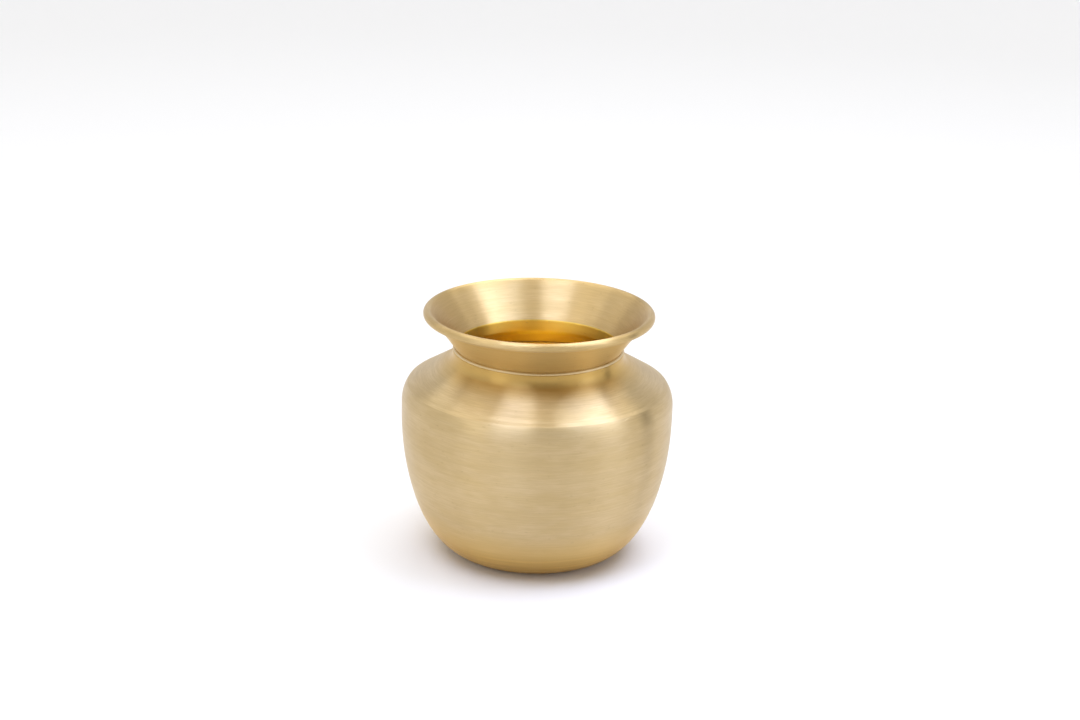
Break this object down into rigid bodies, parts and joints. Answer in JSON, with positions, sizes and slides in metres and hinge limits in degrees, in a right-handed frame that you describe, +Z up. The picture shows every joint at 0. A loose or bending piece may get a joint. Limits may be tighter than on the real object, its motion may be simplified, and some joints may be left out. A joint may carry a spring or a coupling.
{
  "type": "kalash pot",
  "caption": "Round metal water pot with a swelling belly, sloping shoulder, narrow throat, flared neck and rolled rim; holds water and carries a coconut or a lid.",
  "frame": {"origin": "middle of the plane that the pot rests on", "axes": "+Z up along the pot's axis, towards the mouth; X and Y are alike"},
  "size_m": [0.12, 0.12, 0.1105],
  "materials": {
    "spun_brass": "satin, brushed round the axis",
    "wire_brass": "drawn, bare",
    "brazing_metal": "filed and brushed"
  },
  "bodies": {
    "root": {"lower_bowl": "spun_brass", "shoulder": "spun_brass", "neck": "spun_brass", "rim_wire": "wire_brass", "belly_braze": "brazing_metal", "neck_braze": "brazing_metal"}
  },
  "joints": []
}
